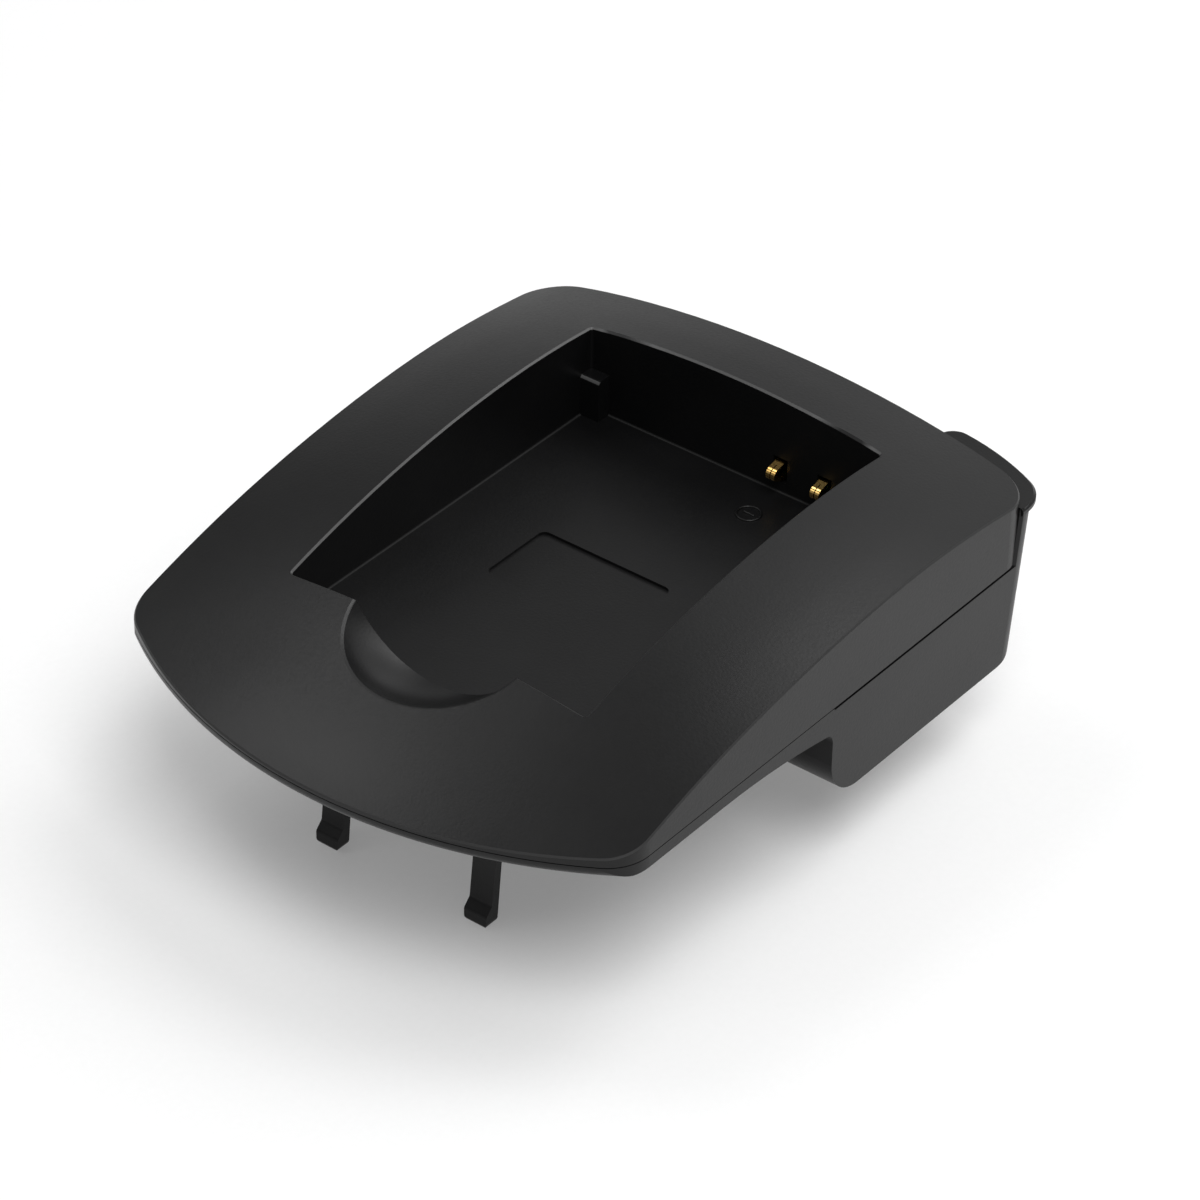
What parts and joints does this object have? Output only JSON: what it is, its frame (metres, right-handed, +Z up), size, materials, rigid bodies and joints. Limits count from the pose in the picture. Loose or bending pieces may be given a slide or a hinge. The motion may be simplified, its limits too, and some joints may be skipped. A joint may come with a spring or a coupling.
{
  "type": "camera battery charger plate",
  "caption": "Domed black battery plate of a camera battery charger: open pocket with spring contacts and a finger scoop, and below it a block and snap hooks that plug into the charger.",
  "frame": {"origin": "on the seat plane under the block, on the plate's centre line, below the pocket's rear wall", "axes": "+Z up out of the pocket, +Y towards the rear wall and finger tab, +X across the plate towards the contacts"},
  "size_m": [0.0615, 0.0796, 0.0322],
  "materials": {
    "cover_plastic": "black, fine satin spark texture",
    "circuit_board": "green solder mask",
    "gold_plate": "gold-plated spring strip",
    "chip_black": "black chip coating",
    "fuse_green": "green fuse coating",
    "screw_steel": "zinc-plated steel"
  },
  "bodies": {
    "root": {"top_cover": "cover_plastic", "bottom_cover": "cover_plastic", "contact_board": "circuit_board", "battery_contact_positive": "gold_plate", "battery_contact_negative": "gold_plate", "base_terminal_positive": "gold_plate", "base_terminal_negative": "gold_plate", "base_terminal_identity": "gold_plate", "identity_resistor": "chip_black", "resettable_fuse": "fuse_green", "cover_screws": "screw_steel"}
  },
  "joints": []
}
